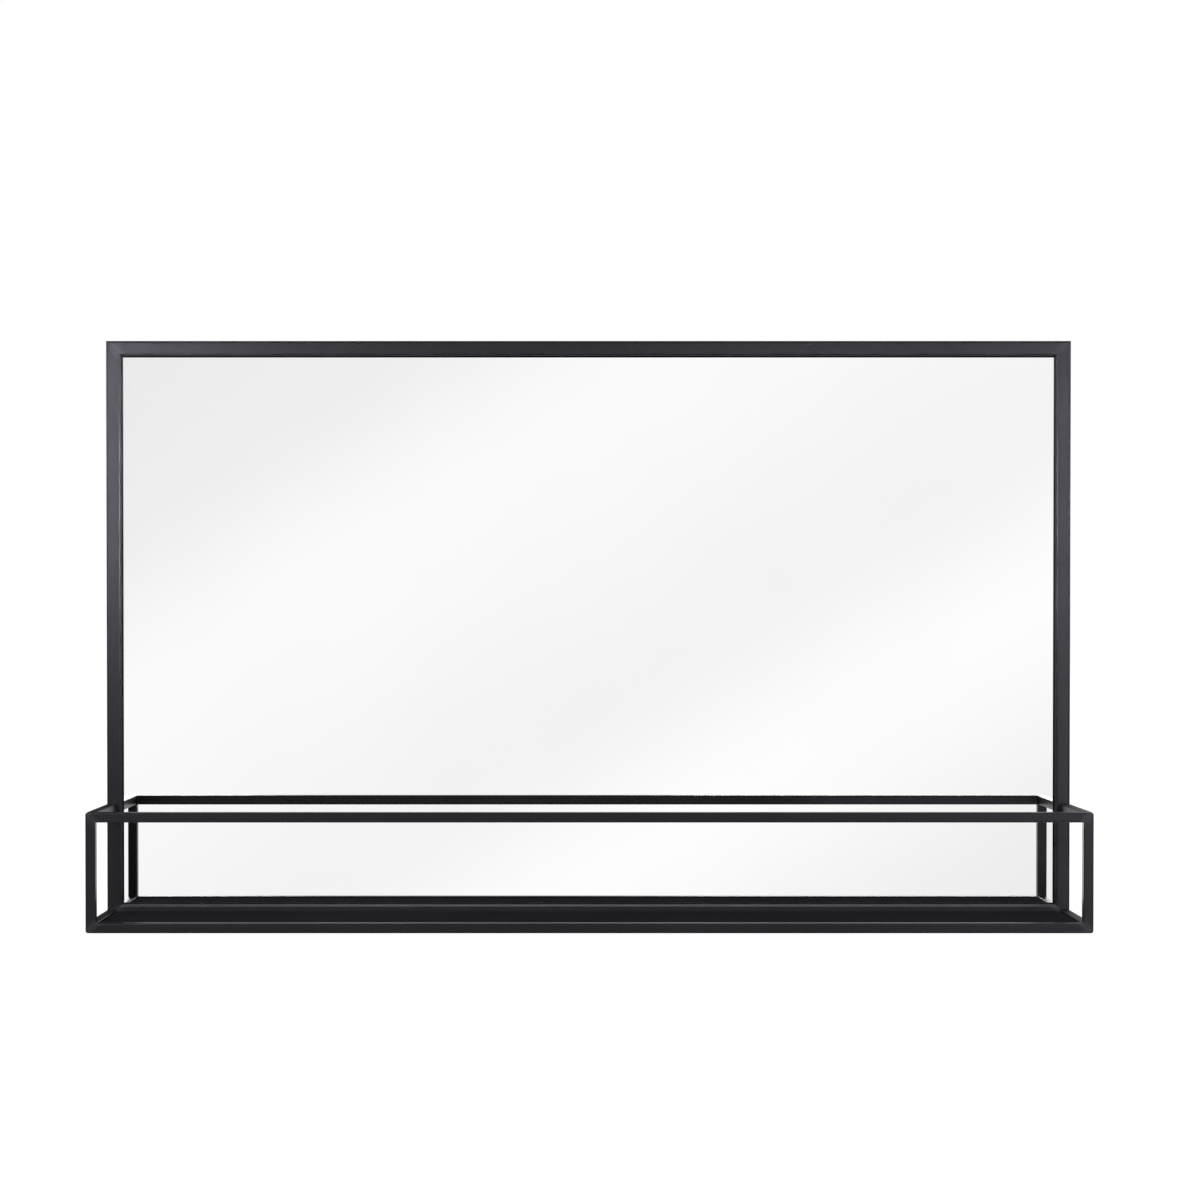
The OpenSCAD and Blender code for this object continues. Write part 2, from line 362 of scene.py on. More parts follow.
class Finish:
    """A procedural material on the Principled shader."""

    def __init__(self, name: str) -> None:
        """Makes the material with its shader and object coordinates.

        Args:
            name: The material's name.
        """
        self.material = bpy.data.materials.new(name)
        self.material.use_nodes = True
        self.sheet = NodeSheet(self.material.node_tree)
        self.shader = self.material.node_tree.nodes["Principled BSDF"]
        place = self.sheet.add("ShaderNodeTexCoord")
        self.object_place = place.outputs["Object"]
        self.object_normal = place.outputs["Normal"]

    def plain(self, **values: object) -> None:
        """Sets the shader's own sockets.

        Args:
            values: Numbers or colours by the socket's name with _ for a space.
        """
        for name, value in values.items():
            socket = self.shader.inputs[name.replace("_", " ")]
            socket.default_value = (*value, 1.0) if isinstance(value, tuple) else value

    def effect(self, tree: NodeTree, **values: object) -> Node:
        """Places an effect group in the material.

        Args:
            tree: The group.
            values: Its inputs by name with _ for a space. Vector is fed already.

        Returns:
            The group node.
        """
        node = self.sheet.add("ShaderNodeGroup", node_tree=tree)
        self.sheet.join(self.object_place, node.inputs["Vector"])
        for name, value in values.items():
            self.sheet.feed(node.inputs[name.replace("_", " ")], value)
        return node

    def colour(self, source: NodeSocket) -> None:
        """Feeds the base colour."""
        self.sheet.join(source, self.shader.inputs["Base Color"])

    def roughness(self, source: NodeSocket) -> None:
        """Feeds the roughness."""
        self.sheet.join(source, self.shader.inputs["Roughness"])

    def bump(self, height: NodeSocket, depth: float) -> None:
        """Feeds the normal from a height.

        Args:
            height: Height from 0 to 1.
            depth: What a height of 1 stands for, in metres.
        """
        node = self.sheet.add("ShaderNodeBump")
        node.inputs["Strength"].default_value = 1.0
        node.inputs["Distance"].default_value = depth
        self.sheet.join(height, node.inputs["Height"])
        self.sheet.join(node.outputs["Normal"], self.shader.inputs["Normal"])


@dataclass(frozen=True)
class MitreBand:
    """Where the dressed welds of one rectangle run, and how they differ from the coat, partly by a
    painted highlight in their colour.

    The dip is in depths of the orange peel, and the polish is what the roughness loses.
    """

    half_width: float
    top: float
    foot: float
    band: float = 9.0 * MM
    highlight_tint_share: float = 0.8
    dip: float = 9.0
    polish: float = 0.06


@dataclass(frozen=True)
class PowderCoat:
    """Charcoal powder coat baked on steel, with worn edges and dressed mitres that are lighter,
    partly as painted highlights.
    """

    name: str
    base: Colour = (0.0078, 0.0076, 0.0084)
    pale: Colour = (0.0104, 0.0101, 0.0112)
    # Edge colour: worn coat, and partly a painted highlight on the rounded edges.
    worn_edge_and_highlight: Colour = (0.036, 0.034, 0.040)
    # Mitre colour: dressed weld, lighter partly as a painted highlight.
    dressed: Colour = (0.026, 0.025, 0.028)
    sheen_tint: Colour = (0.86, 0.83, 1.0)
    roughness: float = 0.32
    spread: float = 0.03
    gloss: float = 0.13
    cloud_scale: float = 7.0
    # Share of the edge colour: worn coat and partly a painted highlight.
    wear_and_highlight: float = 0.35
    peel_depth: float = 0.010 * MM
    mitre: MitreBand | None = None

    def make(self, effects: Effects) -> Material:
        """Builds the material.

        Args:
            effects: The shared effect groups.

        Returns:
            The material.
        """
        finish = Finish(self.name)
        sheet = finish.sheet
        finish.plain(Specular_IOR_Level=self.gloss, Specular_Tint=self.sheen_tint)
        clouds = finish.effect(effects.handling, Cloud_Scale=self.cloud_scale)
        wear_and_highlight = finish.effect(effects.edge_rub, Normal=finish.object_normal, Amount=self.wear_and_highlight)
        peel = finish.effect(effects.orange_peel)
        colour = sheet.blend(clouds.outputs["Cloud"], self.base, self.pale)
        # The rounded edges lighten: worn coat and partly a painted highlight.
        colour = sheet.blend(wear_and_highlight.outputs["Mask"], colour, self.worn_edge_and_highlight)
        low, high = self.roughness - self.spread, self.roughness + self.spread
        rough = sheet.spread(clouds.outputs["Cloud"], 0.0, 1.0, high, low)
        height = peel.outputs["Height"]
        if self.mitre:
            band = finish.effect(effects.ground_mitre, Half_Width=self.mitre.half_width,
                                 Top=self.mitre.top, Foot=self.mitre.foot, Band=self.mitre.band)
            mask = band.outputs["Mask"]
            # The mitres lighten towards the dressed colour: dressed weld and partly a painted
            # highlight.
            tint = sheet.maths("MULTIPLY", mask, self.mitre.highlight_tint_share)
            colour = sheet.blend(tint, colour, self.dressed)
            dip = sheet.maths("MULTIPLY", mask, self.mitre.dip)
            height = sheet.maths("SUBTRACT", height, dip)
            polish = sheet.maths("MULTIPLY", mask, self.mitre.polish)
            rough = sheet.maths("SUBTRACT", rough, polish)
        finish.colour(colour)
        finish.roughness(rough)
        finish.bump(height, self.peel_depth)
        return finish.material


@dataclass(frozen=True)
class CloudedFinish:
    """A finish that drifts slowly between two colours and two roughnesses."""

    name: str
    first: Colour
    second: Colour
    roughness: tuple[float, float]
    cloud_scale: float
    specular: float = 0.5
    metallic: float = 0.0
    wave_scale: float = 420.0
    grit_scale: float = 1500.0
    peel_depth: float = 0.0

    def make(self, effects: Effects) -> Material:
        """Builds the material.

        Args:
            effects: The shared effect groups.

        Returns:
            The material.
        """
        finish = Finish(self.name)
        finish.plain(Specular_IOR_Level=self.specular, Metallic=self.metallic)
        clouds = finish.effect(effects.handling, Cloud_Scale=self.cloud_scale)
        cloud = clouds.outputs["Cloud"]
        finish.colour(finish.sheet.blend(cloud, self.first, self.second))
        finish.roughness(finish.sheet.spread(cloud, 0.0, 1.0, *self.roughness))
        if self.peel_depth:
            peel = finish.effect(effects.orange_peel, Wave_Scale=self.wave_scale,
                                 Grit_Scale=self.grit_scale)
            finish.bump(peel.outputs["Height"], self.peel_depth)
        return finish.material


@dataclass(frozen=True)
class Silvering(CloudedFinish):
    """The reflecting face of the pane: silvered glass, wiped clean."""

    name: str = "silvered_face"
    first: Colour = (0.985, 0.987, 0.986)
    second: Colour = (0.975, 0.978, 0.977)
    roughness: tuple[float, float] = (0.0, 0.006)
    cloud_scale: float = 5.0
    metallic: float = 1.0


@dataclass(frozen=True)
class GroundGlassEdge(CloudedFinish):
    """The arrissed, seamed edge of float glass: green and frosted, and darkened as painted shade
    of the narrow gap beside the frame.
    """

    name: str = "ground_glass_edge"
    # Dark greens: the glass edge's own tint, darkened as painted shade of the gap beside the
    # frame.
    first: Colour = (0.120, 0.180, 0.160)
    second: Colour = (0.040, 0.075, 0.065)
    roughness: tuple[float, float] = (0.35, 0.5)
    cloud_scale: float = 40.0
    wave_scale: float = 1800.0
    grit_scale: float = 5200.0
    peel_depth: float = 0.02 * MM


@dataclass(frozen=True)
class PaintedBack(CloudedFinish):
    """Protective paint on the silvered back of the glass."""

    name: str = "painted_glass_back"
    first: Colour = (0.150, 0.165, 0.170)
    second: Colour = (0.190, 0.205, 0.208)
    roughness: tuple[float, float] = (0.42, 0.55)
    cloud_scale: float = 14.0
    specular: float = 0.4
    wave_scale: float = 700.0
    peel_depth: float = 0.03 * MM


@dataclass(frozen=True)
class ZincPlate(CloudedFinish):
    """Bright zinc plating on small fasteners, slightly blue and unevenly dull."""

    name: str = "bright_zinc"
    first: Colour = (0.66, 0.68, 0.71)
    second: Colour = (0.46, 0.47, 0.48)
    roughness: tuple[float, float] = (0.24, 0.42)
    cloud_scale: float = 380.0
    metallic: float = 1.0
    wave_scale: float = 2400.0
    grit_scale: float = 7000.0
    peel_depth: float = 0.012 * MM


@dataclass(frozen=True)
class MouldedRubber(CloudedFinish):
    """Soft black rubber with the fine matt skin of its mould."""

    name: str = "moulded_rubber"
    first: Colour = (0.016, 0.016, 0.017)
    second: Colour = (0.040, 0.040, 0.042)
    roughness: tuple[float, float] = (0.66, 0.82)
    cloud_scale: float = 160.0
    specular: float = 0.3
    wave_scale: float = 1500.0
    grit_scale: float = 4200.0
    peel_depth: float = 0.04 * MM


@dataclass(frozen=True)
class PressedBoard:
    """Fibre board: pressed brown fibres with pale and dark strands."""

    name: str = "pressed_fibre_board"
    dark: Colour = (0.195, 0.120, 0.064)
    warm: Colour = (0.290, 0.186, 0.104)
    strand: Colour = (0.420, 0.300, 0.188)
    fleck: Colour = (0.110, 0.064, 0.034)
    roughness: tuple[float, float] = (0.58, 0.74)
    fibre_scale: float = 900.0
    fibre_stretch: float = 3.0
    pulp_scale: float = 380.0
    pulp_range: tuple[float, float] = (0.34, 0.66)
    strand_range: tuple[float, float] = (0.56, 0.74)
    strand_share: float = 0.5
    fleck_scale: float = 420.0
    fleck_share: float = 0.45
    cloud_scale: float = 6.0
    specular: float = 0.25
    depth: float = 0.06 * MM

    def make(self, effects: Effects) -> Material:
        """Builds the material.

        Args:
            effects: The shared effect groups.

        Returns:
            The material.
        """
        finish = Finish(self.name)
        sheet = finish.sheet
        finish.plain(Specular_IOR_Level=self.specular)
        clouds = finish.effect(effects.handling, Cloud_Scale=self.cloud_scale,
                               Fleck_Scale=self.fleck_scale)
        stretch = sheet.add("ShaderNodeMapping", finish.object_place)
        stretch.inputs["Scale"].default_value = (1.0, 1.0, self.fibre_stretch)
        fibres = sheet.noise(stretch.outputs["Vector"], self.fibre_scale, detail=4.0,
                             roughness=0.7)
        pulp = sheet.noise(finish.object_place, self.pulp_scale, detail=5.0, roughness=0.75)
        mixed = sheet.blend(sheet.spread(pulp, *self.pulp_range, smooth=True),
                            self.dark, self.warm)
        strands = sheet.spread(fibres, *self.strand_range, smooth=True)
        mixed = sheet.blend(sheet.maths("MULTIPLY", strands, self.strand_share),
                            mixed, self.strand)
        mixed = sheet.blend(sheet.maths("MULTIPLY", clouds.outputs["Flecks"], self.fleck_share),
                            mixed, self.fleck)
        finish.colour(mixed)
        finish.roughness(sheet.spread(clouds.outputs["Cloud"], 0.0, 1.0, *self.roughness))
        finish.bump(sheet.maths("ADD", fibres, pulp), self.depth)
        return finish.material


@dataclass(frozen=True)
class FoamTape:
    """White closed cell foam tape, with its cells open at the cut edges and painted shade in their
    hollows.
    """

    name: str = "closed_cell_foam"
    # The cell colour darkens the hollow of each cell: painted shade.
    cell: Colour = (0.62, 0.62, 0.60)
    wall: Colour = (0.80, 0.80, 0.78)
    roughness: tuple[float, float] = (0.75, 0.9)
    cell_scale: float = 2600.0
    cell_range: tuple[float, float] = (0.0, 0.6)
    cloud_scale: float = 30.0
    specular: float = 0.2
    depth: float = 0.08 * MM

    def make(self, effects: Effects) -> Material:
        """Builds the material.

        Args:
            effects: The shared effect groups.

        Returns:
            The material.
        """
        finish = Finish(self.name)
        finish.plain(Specular_IOR_Level=self.specular)
        cells = finish.sheet.add("ShaderNodeTexVoronoi", finish.object_place)
        cells.inputs["Scale"].default_value = self.cell_scale
        height = finish.sheet.spread(cells.outputs["Distance"], *self.cell_range)
        # Darker in the cell hollows, where the bump dips: painted shade.
        finish.colour(finish.sheet.blend(height, self.cell, self.wall))
        mask = finish.effect(effects.handling, Cloud_Scale=self.cloud_scale)
        finish.roughness(finish.sheet.spread(mask.outputs["Cloud"], 0.0, 1.0, *self.roughness))
        finish.bump(height, self.depth)
        return finish.material


# ---------------------------------------------------------------- places and boxes


def at(x: float, y: float, z: float) -> Matrix:
    """A shift."""
    return Matrix.Translation((x, y, z))


def turned(degrees: float, axis: str) -> Matrix:
    """A turn about one axis."""
    return Matrix.Rotation(math.radians(degrees), 4, axis)


def sized(x: float, y: float, z: float) -> Matrix:
    """A stretch along each axis."""
    return Matrix.Diagonal((x, y, z, 1.0))


def middle(box: Box) -> Vector:
    """The centre of a box."""
    return (box[0] + box[1]) / 2


def size_of(box: Box) -> Vector:
    """The three sizes of a box."""
    return box[1] - box[0]


def around(boxes: Iterable[Box]) -> Box:
    """The box that holds all the given boxes."""
    lows, highs = zip(*boxes)
    return Vector([*map(min, zip(*lows))]), Vector([*map(max, zip(*highs))])


def separate_boxes(node: str, gap: float = 12 * MM) -> list[Box]:
    """Finds the separate solids of a CAD node.

    Args:
        node: The node's name.
        gap: Solids whose boxes come nearer than this count as one.

    Returns:
        One box for each solid, from left to right and then upwards.
    """
    boxes: list[Box] = []
    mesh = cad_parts[node].data
    for face in mesh.polygons:
        low, high = around((mesh.vertices[i].co, mesh.vertices[i].co) for i in face.vertices)
        near = [box for box in boxes
                if all(low[a] - gap < box[1][a] and high[a] + gap > box[0][a] for a in range(3))]
        boxes = [box for box in boxes if box not in near]
        boxes.append(around([(low, high), *near]))
    return sorted(boxes, key=lambda box: (round(box[0].x, 3), round(box[0].z, 3)))


# ---------------------------------------------------------------- workpieces


def stand(name: str, data: ID) -> Object:
    """Makes an object and links it to the scene.

    Args:
        name: The object's name.
        data: Its mesh, lamp or camera.

    Returns:
        The object.
    """
    item = bpy.data.objects.new(name, data)
    bpy.context.scene.collection.objects.link(item)
    return item


class Workpiece:
    """A mesh on the bench: bmesh operators shape it, and fit() sets it in the model."""

    def __init__(self, name: str) -> None:
        """Starts an empty mesh.

        Args:
            name: The finished object's name.
        """
        self.name = name
        self.mesh = bmesh.new()

    def move(self, verts: Sequence[BMVert], place: Matrix) -> None:
        """Moves points by a placement."""
        bmesh.ops.transform(self.mesh, matrix=place, verts=verts)

    def round_off(self, geometry: Sequence[BMVert | BMEdge], radius: float, segments: int,
                  kind: str = "EDGES") -> None:
        """Rounds edges or corners to a radius."""
        bmesh.ops.bevel(self.mesh, geom=geometry, offset=radius, segments=segments,
                        profile=0.5, affect=kind, material=-1)

    def disc(self, radius: float, segments: int) -> list[BMFace]:
        """Adds a flat disc in the plane Z = 0, and returns its face."""
        made = bmesh.ops.create_circle(self.mesh, cap_ends=True, segments=segments,
                                       radius=radius)
        return list({face for vert in made["verts"] for face in vert.link_faces})

    def cylinder(self, radius: float, length: float, segments: int,
                 place: Matrix) -> list[BMVert]:
        """Adds a cylinder centred on a placement and along its Z.

        Args:
            radius: Its radius.
            length: Its length.
            segments: Facets round it.
            place: Where its middle stands.

        Returns:
            Its points.
        """
        verts = bmesh.ops.create_cone(self.mesh, cap_ends=True, segments=segments,
                                      radius1=radius, radius2=radius, depth=length)["verts"]
        self.move(verts, place)
        return verts

    def rounded_plate(self, depth: float, low: float, high: float, radius: float,
                      segments: int) -> list[BMFace]:
        """Makes a flat rounded rectangle in the plane X = 0.

        Args:
            depth: Its size along Y, centred on 0.
            low: Its lower edge along Z.
            high: Its upper edge along Z.
            radius: Radius of its corners.
            segments: Facets of each corner.

        Returns:
            Its one face.
        """
        verts = bmesh.ops.create_grid(self.mesh, x_segments=1, y_segments=1, size=0.5)["verts"]
        self.move(verts, at(0.0, 0.0, (low + high) / 2) @ sized(1.0, depth, high - low)
                  @ turned(90, "Y"))
        self.round_off(verts, radius, segments, "VERTICES")
        return list(self.mesh.faces)

    def hollow(self, faces: list[BMFace], wall: float) -> list[BMFace]:
        """Turns a flat face into a ring.

        Args:
            faces: The flat face.
            wall: Width of the ring.

        Returns:
            The ring's faces.
        """
        ring = bmesh.ops.inset_region(self.mesh, faces=faces, thickness=wall,
                                      use_boundary=True, use_even_offset=True)["faces"]
        bmesh.ops.delete(self.mesh, geom=faces, context="FACES")
        return ring

    def sweep(self, faces: list[BMFace], places: Sequence[Matrix]) -> None:
        """Extrudes flat faces through a row of placements, closed at both ends.

        Args:
            faces: The cap that is swept, as it lies in the section's own plane.
            places: Where the cap stands at each step.
        """
        current = places[0]
        verts = list({vert for face in faces for vert in face.verts})
        self.move(verts, current)
        for place in places[1:]:
            grown = bmesh.ops.extrude_face_region(self.mesh, geom=faces)["geom"]
            faces = [item for item in grown if isinstance(item, BMFace)]
            verts = [item for item in grown if isinstance(item, BMVert)]
            self.move(verts, place @ current.inverted())
            current = place

    def carve(self, cutter: "Workpiece") -> None:
        """Cuts the cutter's volume out of this piece.

        Args:
            cutter: A closed piece, which is used up.
        """
        self.tidy()
        cutter.tidy()
        target, tool = self._loose_object(), cutter._loose_object()
        cut = target.modifiers.new("carve", "BOOLEAN")
        cut.operation = "DIFFERENCE"
        cut.solver = "EXACT"
        cut.object = tool
        bpy.context.view_layer.update()
        result = bpy.data.meshes.new_from_object(
            target.evaluated_get(bpy.context.evaluated_depsgraph_get()))
        self.mesh = bmesh.new()
        self.mesh.from_mesh(result)
        for item in (target, tool):
            spare = item.data
            bpy.data.objects.remove(item)
            bpy.data.meshes.remove(spare)
        bpy.data.meshes.remove(result)

    def _loose_object(self) -> Object:
        """Puts the mesh in a scratch object and empties the bench.

        Returns:
            The object.
        """
        data = bpy.data.meshes.new(self.name)
        self.mesh.to_mesh(data)
        self.mesh.free()
        return stand(self.name, data)

    def mark_plane(self, normal: Vector, distance: float, number: int,
                   slack: float = 1e-6) -> None:
        """Gives the faces that lie in one plane a material number.

        Args:
            normal: The plane's normal.
            distance: Its distance from the origin along the normal.
            number: The material number.
            slack: How far a corner may be off the plane.
        """
        for face in self.mesh.faces:
            if all(abs(vert.co.dot(normal) - distance) < slack for vert in face.verts):
                face.material_index = number

    def tidy(self) -> None:
        """Merges doubles and turns the faces outwards."""
        bmesh.ops.remove_doubles(self.mesh, verts=self.mesh.verts, dist=SAME_POINT)
        bmesh.ops.recalc_face_normals(self.mesh, faces=self.mesh.faces)

    def fit(self, finishes: Sequence[Material], slot: Slot,
            stands_for: Sequence[str] = (), sharp_at: float = 40.0) -> Object:
        """Makes the finished object and puts it in the model.

        Args:
            finishes: Materials, in the order of the faces' material numbers.
            slot: The record's slot that the piece stands for; it is not used.
            stands_for: CAD nodes that it replaces.
            sharp_at: Edges that turn by more than this many degrees stay crisp.

        Returns:
            The object.
        """
        self.tidy()
        data = bpy.data.meshes.new(self.name)
        for face in self.mesh.faces:
            face.smooth = True
        self.mesh.to_mesh(data)
        self.mesh.free()
        data.set_sharp_from_angle(angle=math.radians(sharp_at))
        for material in finishes:
            data.materials.append(material)
        item = stand(self.name, data)
        weighted = item.modifiers.new("flat_faces_stay_flat", "WEIGHTED_NORMAL")
        weighted.keep_sharp = True
        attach(item, BODY)
        if stands_for:
            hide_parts(*stands_for)
        log.info("%s: %d faces", self.name, len(data.polygons))
        return item


def dress_node(node: str, material: Material) -> None:
    """Gives a CAD node that stays in the model its finished material.

    Args:
        node: The node's name.
        material: The finish.
    """
    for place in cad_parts[node].material_slots:
        place.link = "OBJECT"
        place.material = material
    log.info("%s: dressed with %s", node, material.name)


# ---------------------------------------------------------------- steelwork


@dataclass(frozen=True)
class TubeStock:
    """Square or rectangular tube as it comes from the mill."""

    radius: float
    wall: float
    segments: int = 6


@dataclass(frozen=True)
class DrainHoles:
    """Round holes through the back wall of a tube, which let the rinse water out."""

    diameter: float = 6 * MM
    from_end: float = 110 * MM
    reach: float = 4 * MM
    segments: int = 32


@dataclass
class WeldedRectangle:
    """Four mitred tubes welded into a rectangle that stands in the XZ plane."""

    nodes: dict[Edge, str]
    stock: TubeStock
    corner_radius: float
    slot: Slot
    corner_steps: int = 5
    drains: DrainHoles | None = None

    def outline(self) -> Box:
        """The box round all four tubes."""
        return around(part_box(node) for node in self.nodes.values())

    def mitre_band(self) -> MitreBand:
        """Where the dressed mitres lie, for the finish."""
        low, high = self.outline()
        return MitreBand(half_width=high.x, top=high.z, foot=low.z)

    def _places(self, length: float, reach: float, face: float) -> list[Matrix]:
        """Placements of the section along one tube.

        The section's outer face follows the rounded corner from the mitre to the straight
        stretch, and each section leans with the mitre.

        Args:
            length: Length of the tube along its outer face.
            reach: Distance from the rectangle's centre to that face.
            face: Width of the tube across the rectangle's plane.

        Returns:
            The placements from one end to the other.
        """
        inner = reach - face
        half, turn, radius = length / 2, math.pi / 2, self.corner_radius
        steps = [turn / 2 * (1 + step / self.corner_steps)
                 for step in range(self.corner_steps + 1)]

        def lean(angle: float, end: int) -> Matrix:
            """Placement of one section.

            Args:
                angle: How far it has come round the corner.
                end: -1 or 1, the tube's end that it belongs to.

            Returns:
                The placement.
            """
            along = radius * (math.sin(angle) - math.cos(angle))
            squeeze = (face - radius * (1 - math.sin(angle))) / face
            shift = (1 - squeeze) * inner
            return Matrix((
                (1.0, 0.0, end * squeeze, end * (half - along - reach + shift)),
                (0.0, 1.0, 0.0, 0.0),
                (0.0, 0.0, squeeze, shift),
                (0.0, 0.0, 0.0, 1.0)))

        return [lean(angle, -1) for angle in steps] + [lean(angle, 1) for angle in steps[::-1]]

    def build(self, *finishes: Material) -> list[Object]:
        """Builds, cuts and fits the four tubes.

        Args:
            finishes: The powder coat with this rectangle's mitre band and, where the
                rectangle's inside has one of its own, the coat there.

        Returns:
            The tubes.
        """
        tubes = []
        centre = middle(self.outline())
        for edge, node in self.nodes.items():
            size = size_of(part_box(node))
            upright = edge in (Edge.LEFT, Edge.RIGHT)
            length, face = (size.z, size.x) if upright else (size.x, size.z)
            whole = size_of(self.outline())
            reach = (whole.x if upright else whole.z) / 2
            tube = Workpiece(f"{node}_finished")
            cap = tube.rounded_plate(size.y, reach - face, reach, self.stock.radius,
                                     self.stock.segments)
            cap = tube.hollow(cap, self.stock.wall)
            turn = turned(edge.value, "Y")
            tube.sweep(cap, [at(*centre) @ turn @ place
                             for place in self._places(length, reach, face)])
            if self.drains and edge is Edge.BOTTOM:
                self._drill(tube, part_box(node))
            # The inside faces take the second finish, a paler coat that is painted light.
            if len(finishes) > 1:
                outwards = turn.to_3x3() @ Vector((0.0, 0.0, 1.0))
                tube.mark_plane(outwards, centre.dot(outwards) + reach - face, 1)
            tubes.append(tube.fit(finishes, self.slot, [node]))
        return tubes

    def _drill(self, tube: Workpiece, box: Box) -> None:
        """Drills the drain holes in the back wall of the bottom tube.

        Args:
            tube: The bottom tube.
            box: The tube's box.
        """
        assert self.drains is not None
        drills = Workpiece("drain_drills")
        for side in Side:
            across = side.value * (box[1].x - self.drains.from_end)
            drills.cylinder(self.drains.diameter / 2, 2 * self.drains.reach,
                            self.drains.segments,
                            at(across, box[1].y, middle(box).z) @ turned(90, "X"))
        tube.carve(drills)


@dataclass
class SideRails:
    """The four rails that run back from the shelf's front rectangle to the frame."""

    nodes: Sequence[str]
    stock: TubeStock

    def build(self, material: Material) -> None:
        """Builds and fits the rails, each a straight tube along Y.

        Args:
            material: The powder coat.
        """
        for node in self.nodes:
            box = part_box(node)
            size, centre = size_of(box), middle(box)
            rail = Workpiece(f"{node}_finished")
            cap = rail.rounded_plate(size.x, -size.z / 2, size.z / 2, self.stock.radius,
                                     self.stock.segments)
            cap = rail.hollow(cap, self.stock.wall)
            turn = at(*centre) @ turned(90, "Z")
            ends = [turn @ at(end * size.y / 2, 0.0, 0.0) for end in (-1, 1)]
            rail.sweep(cap, ends)
            rail.fit([material], Slot.RAIL, [node])


# ---------------------------------------------------------------- welds


@dataclass(frozen=True)
class Bead:
    """A fillet weld run by hand: a round bead with even ripples, under the coat."""

    radius: float = 0.85 * MM
    pitch: float = 1.5 * MM
    ripple: float = 0.10
    step: float = 0.3 * MM
    segments: int = 10
    end_size: float = 0.45

    def run(self, piece: Workpiece, *path: Sequence[float]) -> None:
        """Lays the bead along a path of straight stretches.

        Args:
            piece: The workpiece that takes the bead.
            path: Its corner points.
        """
        stations = self._stations([Vector(point) for point in path])
        cap = piece.disc(self.radius, self.segments)
        total = stations[-1][2]
        places = []
        for point, ahead, travelled in stations:
            wave = 1.0 + self.ripple * math.sin(2 * math.pi * travelled / self.pitch)
            from_end = min(travelled, total - travelled)
            rise = math.sin(min(1.0, from_end / self.radius) * math.pi / 2)
            taper = self.end_size + (1.0 - self.end_size) * rise
            turn = Vector((0.0, 0.0, 1.0)).rotation_difference(ahead).to_matrix().to_4x4()
            places.append(at(*point) @ turn @ Matrix.Scale(wave * taper, 4))
        piece.sweep(cap, places)

    def _stations(self, path: Sequence[Vector]) -> list[tuple[Vector, Vector, float]]:
        """Divides a path into short steps.

        Args:
            path: Its corner points.

        Returns:
            Points along it, each with the direction there and the length so far.
        """
        found = []
        travelled = 0.0
        for place, (start, end) in enumerate(zip(path, path[1:])):
            run = end - start
            count = max(2, round(run.length / self.step))
            first = 0 if place == 0 else 1
            for step in range(first, count + 1):
                share = step / count
                ahead = run.normalized()
                if step == count and place + 2 < len(path):
                    ahead = (ahead + (path[place + 2] - end).normalized()).normalized()
                found.append((start.lerp(end, share), ahead, travelled + share * run.length))
            travelled += run.length
        return found


